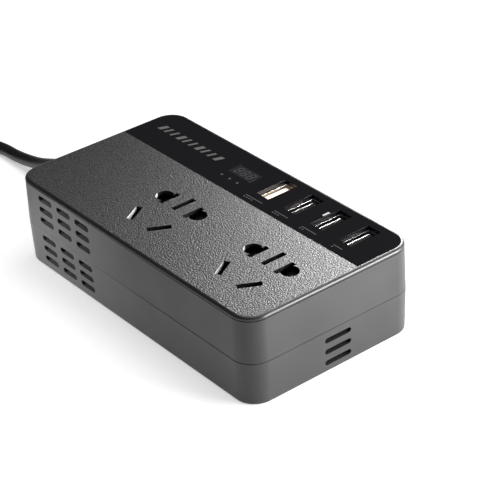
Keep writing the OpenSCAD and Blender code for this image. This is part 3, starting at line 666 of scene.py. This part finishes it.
TURN_Y = Matrix.Rotation(math.radians(90), 4, "Z")
for tag, cx in zip("ab", SOCKETS):
    parts = [moved(helix(0, 14.85, 0.95, 0.2, 8), Matrix.Translation((cx + s * 9.2, -2.45, 27.8)) @ TURN_Y) for s in (-1, 1)]
    o = obj_from(f"pair_springs_{tag}_wound", *join_data(parts), [M["steel"]])
    tidy(o.data)
    finish(o, 0, node=f"pair_springs_{tag}", weighted=False)
    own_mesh(o)
    o = obj_from(f"slant_spring_{tag}_wound", *moved(helix(0, 10.3, 0.95, 0.2, 7), Matrix.Translation((cx - 16.95, SLANT_Y, 27.8))), [M["steel"]])
    tidy(o.data)
    finish(o, 0, node=f"slant_spring_{tag}", weighted=False)
    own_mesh(o)
PLUG = Matrix.Translation((0, -100, 12))
o = obj_from("plug_spring_wound", *moved(helix(-58.95, -46.05, 3.6, 0.45, 7, 36, 10), PLUG), [M["steel"]])
tidy(o.data)
finish(o, 0, node="plug_spring", weighted=False)
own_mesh(o)


# ------------------------------------------------------------------ lead
def smooth_path(p, n):
    p = [Vector(q) for q in p]
    at = lambda i: p[max(0, min(len(p) - 1, i))]
    out = []
    for i in range(len(p) - 1):
        a, b, c, d = at(i - 1), at(i), at(i + 1), at(i + 2)
        for k in range(n):
            t = k / n
            out.append(0.5 * ((2 * b) + (c - a) * t + (2 * a - 5 * b + 4 * c - d) * t * t + (3 * b - a - 3 * c + d) * t ** 3))
    out.append(p[-1])
    return out


def ease(a, b, x):
    t = min(1.0, max(0.0, (x - a) / (b - a)))
    return t * t * (3 - 2 * t)


def mix(a, b, t):
    return a + (b - a) * t


LEAD = [(-61.5, 0, 15.7), (-72, 0, 15.7), (-79, 0, 15.4), (-86, 0, 14), (-95, 0, 10.8), (-105, 0, 7.2), (-112, 0, 5.2),
        (-120, 0, 3.6), (-127, 0, 2.7), (-134, -0.2, 2.4), (-142, -2.3, 2.4), (-149, -7.1, 2.4), (-154, -14.7, 2.4), (-156, -24, 2.4),
        (-156, -36, 2.4), (-156, -48, 2.4)]
TAIL = [(-137.2, -79.6, 6.8), (-128.5, -84.5, 7.35), (-120, -89.4, 7.6), (-113, -93.3, 8.4), (-106, -96.9, 9.7), (-100, -99.1, 11),
        (-94, -99.9, 11.8), (-87, -100, 12), (-76, -100, 12)]
ring = []
for k in range(151):
    t = 180 + 7.5 * k
    if t > 1305:
        break
    r = mix(30, 25, ease(430, 541, t))
    r = mix(r, 20, ease(790, 901, t))
    r = mix(r, 22.5, ease(1150, 1262, t))
    z = 2.42 + 0.62 * math.exp(-((((t + 180) % 360 - 180) / 26) ** 2))
    z = mix(z, 7.3, ease(1095, 1192, t))
    z = mix(z, 6.8, ease(1215, 1275, t))
    a = math.radians(t)
    ring.append(Vector((-126 + r * math.cos(a), -60 + r * math.sin(a), z)))
route = smooth_path(LEAD, 3)[:-1] + ring + smooth_path(TAIL, 3)
cu = bpy.data.curves.new("lead_12v", "CURVE")
cu.dimensions = "3D"
cu.bevel_depth = 2.4 * MM
cu.bevel_resolution = 8
cu.use_fill_caps = True
sp = cu.splines.new("POLY")
sp.points.add(len(route) - 1)
for pt, p in zip(sp.points, route):
    pt.co = (*(p * MM), 1)
sp.use_smooth = True
lead = bpy.data.objects.new("lead_12v", cu)
scene.collection.objects.link(lead)
cu.materials.append(M["cable"])
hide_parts("cable_lead", "cable_coil", "cable_tail")
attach(lead, "case")


def ribbed(x0, x1, r0, r1, ribs, depth, inner):
    """Profile of a tapered strain relief whose rings are parted by rounded grooves."""
    prof = [(x0, inner)]
    n = ribs * 10
    for k in range(n + 1):
        u = k / n
        r = mix(r0, r1, u)
        g = 0.5 - 0.5 * math.cos(2 * math.pi * ribs * u)
        g = max(0.0, g - 0.35) / 0.65
        r -= depth * g ** 0.6 if 0.06 < u < 0.97 else 0
        prof.append((mix(x0, x1, u), r))
    prof.append((x1, inner))
    return prof


gl = lathe(ribbed(-79.0, -66.6, 3.35, 4.6, 6, 0.7, 2.43), 64)
fl = lathe([(-66.65, 2.43), (-66.65, 4.7), (-66.4, 4.95), (-65.3, 5.0), (-65.05, 4.9), (-65.05, 3.9), (-62.95, 3.9), (-62.95, 5.5), (-61.5, 5.5), (-61.5, 2.43)], 64)
o = obj_from("strain_relief", *moved(join_data([gl, fl]), Matrix.Translation((0, 0, SPLIT))), [M["boot"]])
tidy(o.data)
gland = finish(o, 0, node="cable_gland")
gl = lathe(ribbed(-94, -79.9, 3.35, 5.6, 6, 0.85, 2.43), 64)
fl = lathe([(-79.95, 2.43), (-79.95, 5.5), (-78, 5.5), (-78, 2.43)], 64)
o = obj_from("plug_boot_ribbed", *moved(join_data([gl, fl]), PLUG), [M["boot"]])
tidy(o.data)
boot = finish(o, 0, node="plug_boot")

# nylon tie: a thin strap round the coil with its head on top
def strap(x0, x1, z0, z1, t, r, y0, y1, n=8):
    def loop(g):
        pts = []
        for sx, sz, a0 in ((1, 1, 0), (-1, 1, 90), (-1, -1, 180), (1, -1, 270)):
            rr = max(0.05, r + g)
            cx, cz = (x0 + x1) / 2 + sx * ((x1 - x0) / 2 - r), (z0 + z1) / 2 + sz * ((z1 - z0) / 2 - r)
            for k in range(n + 1):
                a = math.radians(a0 + 90 * k / n)
                pts.append((cx + rr * math.cos(a), cz + rr * math.sin(a)))
        return pts
    out, inn = loop(0), loop(-t)
    m = len(out)
    v = [(p[0], y, p[1]) for y in (y0, y1) for p in out] + [(p[0], y, p[1]) for y in (y0, y1) for p in inn]
    f = []
    for k in range(m):
        k2 = (k + 1) % m
        f += [(k, k2, m + k2, m + k), (2 * m + k2, 2 * m + k, 3 * m + k, 3 * m + k2), (k2, k, 2 * m + k, 2 * m + k2), (m + k, m + k2, 3 * m + k2, 3 * m + k)]
    return v, f


parts = [moved(strap(-8.6, 8.6, 0, 6.15, 0.55, 2.6, -1.8, 1.8), Matrix.Translation((-101, -60, 0))),
         boxd(-106.2, -101.4, -63, -57, 5.3, 6.2)]
o = obj_from("coil_tie", *join_data(parts), [M["tie"]])
tidy(o.data)
tie = finish(o, 0.12, 2, node="cable_tie")


# ------------------------------------------------------------------ accessory plug
def plug_half(sign, name, node):
    prof = [(-79.85, 5.75), (-79.95, 6.2), (-80, 9.0), (-79.6, 9.9), (-78.4, 10.9), (-76.4, 11.5), (-73.4, 11.9), (-73, 12.0)]
    prof += [(-51.4, 12.0), (-50.4, 11.85), (-49.0, 11.35), (-47.2, 11.1), (-47.0, 10.9), (-46.9, 10.42), (-46.6, 10.4), (-18.5, 10.4), (-18.1, 10.3), (-18.0, 10.0),
             (-18.0, 8.4), (-13.0, 8.4), (-13.0, 6.45), (-22, 6.45), (-22, 4.45), (-59, 4.45), (-59, 2.5), (-78, 2.5), (-78, 5.6)]
    prof.append(prof[0])
    prof = prof[::-1]
    n = 108
    a0 = 0.35 if sign > 0 else 180.35
    verts, faces = [], []
    m = n + 1
    p = len(prof) - 1
    for i in range(m):
        deg = a0 + 179.3 * i / n
        a = math.radians(deg)
        for k in range(p):
            x, r = prof[k]
            verts.append((x, r * math.cos(a), r * math.sin(a)))
    for i in range(n):
        for k in range(p):
            k2 = (k + 1) % p
            faces.append((i * p + k, i * p + k2, (i + 1) * p + k2, (i + 1) * p + k))
    faces.append(tuple(range(p - 1, -1, -1)))
    faces.append(tuple(range(n * p, n * p + p)))
    o = obj_from(name, *moved((verts, faces), PLUG), [M["plug"]])
    tidy(o.data)
    parts = []
    for s in (-1, 1):
        parts.append(moved(boxd(-44, -20, s * 10.6 - 3.1, s * 10.6 + 3.1, -2.9, 2.9), PLUG))
        if sign < 0:
            parts.append(moved(prism([(-73 + 2.1 * math.cos(t * math.pi / 16), s * 7.2 + 2.1 * math.sin(t * math.pi / 16)) for t in range(32)], -20, -7), PLUG))
    # grip flutes, as rods sunk into the surface
    for k in range(13):
        a = math.radians(18 + k * 12) if sign > 0 else math.radians(198 + k * 12)
        if sign > 0 and abs(k - 6) < 1:
            continue
        if sign < 0 and (abs(math.degrees(a) - 222) < 16 or abs(math.degrees(a) - 318) < 16):
            x0 = -67
        else:
            x0 = -72
        rod = []
        c = [(0.75 * math.cos(t * math.pi / 6), 0.75 * math.sin(t * math.pi / 6)) for t in range(12)]
        v = []
        for xx, sc in ((x0, 0.02), (x0 + 0.7, 0.75), (x0 + 1.6, 1.0), (-53.6, 1.0), (-52.7, 0.75), (-52, 0.02)):
            for cy, cz in c:
                rr = 12.3
                v.append((xx, rr * math.cos(a) + sc * cy, rr * math.sin(a) + sc * cz))
        f = []
        for i in range(5):
            for q in range(12):
                f.append((i * 12 + q, i * 12 + (q + 1) % 12, (i + 1) * 12 + (q + 1) % 12, (i + 1) * 12 + q))
        f += [tuple(range(11, -1, -1)), tuple(range(60, 72))]
        parts.append(moved((v, f), PLUG))
    if sign > 0:
        parts.append(moved(prism([(-54 + 1.6 * math.cos(t * math.pi / 16), 1.6 * math.sin(t * math.pi / 16)) for t in range(32)], 6, 20), PLUG))
    for part in parts:
        cut(o, part)
    return finish(o, 0.10, 2, 50, node=node)


upper = plug_half(1, "plug_upper_half", "plug_shell_upper")
lower = plug_half(-1, "plug_lower_half", "plug_shell_lower")

# knurled nose cap
v, f = [], []
prof = [(-17.95, 8.5, 0), (-17.95, 9.7, 0), (-17.7, 9.95, 1), (-16.9, 10.0, 1), (-11.8, 10.0, 1), (-10.6, 9.75, 0.6), (-9.6, 9.1, 0), (-9.05, 8.4, 0), (-9.0, 7.6, 0), (-9.0, 4.3, 0),
        (-9.15, 4.05, 0), (-12.2, 4.05, 0), (-12.2, 6.4, 0), (-13.0, 6.4, 0), (-13.0, 8.5, 0)]
n = 240
for i in range(n):
    a = 2 * math.pi * i / n
    for x, r, w in prof:
        r -= 0.22 * w * (0.5 - 0.5 * math.cos(40 * a)) ** 0.7
        v.append((x, r * math.cos(a), r * math.sin(a)))
p = len(prof)
for i in range(n):
    j = (i + 1) % n
    for k in range(p):
        k2 = (k + 1) % p
        f.append((i * p + k, j * p + k, j * p + k2, i * p + k2))
o = obj_from("plug_nose_ring", *moved((v, f), PLUG), [M["plug"]])
tidy(o.data)
nose = finish(o, 0, node="plug_nose_cap")

prof = [(-16, 0.0), (-16, 5.8), (-15.8, 6.0), (-14.1, 6.0), (-13.9, 5.9), (-12.45, 4.05), (-12.3, 4.0), (-6.9, 4.0), (-6.4, 3.85), (-5.6, 3.1), (-5.0, 2.3), (-4.6, 1.5), (-4.5, 0.7), (-4.5, 0.0)]
o = obj_from("plug_tip_turned", *moved(lathe(prof[::-1], 72), PLUG), [M["nickel"]])
tidy(o.data)
finish(o, 0, node="plug_tip", body="plug_tip")


# ------------------------------------------------------------------ CAD pieces that stay: finishes only
def dress(node, mat, bevel=0.0):
    o = NODES[node]
    o.data.materials.clear()
    o.data.materials.append(mat)
    for p in o.data.polygons:
        p.material_index = 0
    if bevel:
        w = o.modifiers.new("weld", "WELD")
        w.merge_threshold = 1e-6
        b = o.modifiers.new("bevel", "BEVEL")
        b.width = bevel * MM
        b.segments = 2
        b.limit_method = "ANGLE"
        b.angle_limit = math.radians(50)


for node, mat, bev in (
    ("display_module", "meter", 0), ("case_screws", "screw", 0), ("main_board", "board", 0), ("usb_board", "board", 0), ("usb_contacts", "gold", 0),
    ("socket_housing_a", "shutter", 0), ("socket_housing_b", "shutter", 0), ("live_contact_a", "brass", 0), ("neutral_contact_a", "brass", 0),
    ("earth_contact_a", "brass", 0), ("live_contact_b", "brass", 0), ("neutral_contact_b", "brass", 0), ("earth_contact_b", "brass", 0),
    ("pair_shutter_a", "shutter", 0), ("pair_shutter_b", "shutter", 0), ("slant_shutter_a", "shutter", 0), ("slant_shutter_b", "shutter", 0),
    ("fan_frame", "inside", 0), ("fan_rotor", "black", 0), ("transformer_core", "ferrite", 0), ("transformer_winding", "copper", 0),
    ("electrolytic_capacitors", "can", 0), ("heatsink", "alu", 0), ("mosfets", "epoxy", 0), ("filter_inductor", "copper", 0), ("input_wires", "red", 0),
    ("plug_fuse", "glass", 0), ("plug_contact_left", "nickel", 0), ("plug_contact_right", "nickel", 0), ("plug_lamp", "red_lens", 0), ("plug_screws", "screw", 0),
):
    dress(node, M[mat], bev)

# ------------------------------------------------------------------ floor, light, camera
floor = obj_from("floor", [(-9, -9, 0), (9, -9, 0), (9, 9, 0), (-9, 9, 0)], [(0, 1, 2, 3)], [principled("floor_white", (0.88, 0.88, 0.88), 0.6, spec=0.3)])
fb = floor.data.materials[0].node_tree.nodes["Principled BSDF"]
fb.inputs["Emission Color"].default_value = (1, 1, 1, 1)
fb.inputs["Emission Strength"].default_value = 0.49
floor.location.z = -0.00002


def area(name, pos, target, size, power, spread=180.0, color=(1, 1, 1), only=None):
    d = bpy.data.lights.new(name, "AREA")
    d.energy = power
    d.color = color
    d.shape = "SQUARE"
    d.size = size
    d.spread = math.radians(spread)
    o = bpy.data.objects.new(name, d)
    scene.collection.objects.link(o)
    o.location = Vector(pos)
    o.rotation_mode = "QUATERNION"
    o.rotation_quaternion = (Vector(target) - Vector(pos)).to_track_quat("-Z", "Y")
    o.visible_camera = False
    if only:
        o.light_linking.receiver_collection = only
    return o


grain_only = bpy.data.collections.new("grain_only")
grain_only.objects.link(cover)
for o in rims:
    grain_only.objects.link(o)
shells_only = bpy.data.collections.new("shells_only")
for o in shells:
    shells_only.objects.link(o)
area("overhead", (0.0, 0.1, 1.1), (0, 0, 0), 0.9, 7.4)
area("overhead_back", (0.0, 0.6, 1.0), (0, 0, 0), 0.9, 2.6)
area("sheen_a", (-0.01, 0.10, 0.10), (0.05, 0, 0.033), 0.06, 0.34, only=grain_only)
area("sheen_d", (-0.043, 0.077, 0.11), (0.04, 0, 0.033), 0.06, 0.045, only=grain_only)
area("sheen_b", (0.02, 0.09, 0.07), (0.06, 0, 0.033), 0.05, 0.085, only=grain_only)
area("sheen_c", (0.03, 0.12, 0.10), (0.06, 0, 0.033), 0.06, 0.04, only=grain_only)
area("key_low", (0.30, 0.14, 0.06), (0.05, 0, 0.02), 0.14, 1.15)
area("key_side", (0.24, 0.24, 0.08), (0.05, 0, 0.02), 0.14, 0.66)
area("key_far", (0.40, 0.25, 0.06), (0.05, 0, 0.02), 0.20, 0.85)
area("left_front", (-0.14, -0.20, 0.12), (-0.077, -0.035, 0.034), 0.10, 0.14, 24, only=shells_only)

world = bpy.data.worlds.new("studio")
scene.world = world
world.use_nodes = True
bg = world.node_tree.nodes["Background"]
bg.inputs["Color"].default_value = (1, 1, 1, 1)
bg.inputs["Strength"].default_value = 0.04

cam_data = bpy.data.cameras.new("camera")
cam = bpy.data.objects.new("camera", cam_data)
scene.collection.objects.link(cam)
scene.camera = cam
cam_data.sensor_width = 36.0
cam_data.sensor_fit = "HORIZONTAL"
cam_data.lens = 1810.684 * 36 / 480
cam_data.clip_start, cam_data.clip_end = 0.01, 50
right = Vector((0.62252, 0.78078, -0.05330)).normalized()
back = -Vector((-0.68593, 0.51157, -0.51748)).normalized()
up = back.cross(right).normalized()
right = up.cross(back).normalized()
rot = Matrix((right, up, back)).transposed()
cam.rotation_mode = "QUATERNION"
cam.rotation_quaternion = rot.to_quaternion()
cam.location = Vector((429.393, -307.220, 337.933)) * MM

scene.view_settings.view_transform = "Standard"
scene.view_settings.look = "None"
scene.view_settings.exposure = 0.0
scene.view_settings.gamma = 1.0
scene.cycles.use_denoising = True
scene.cycles.max_bounces = 8
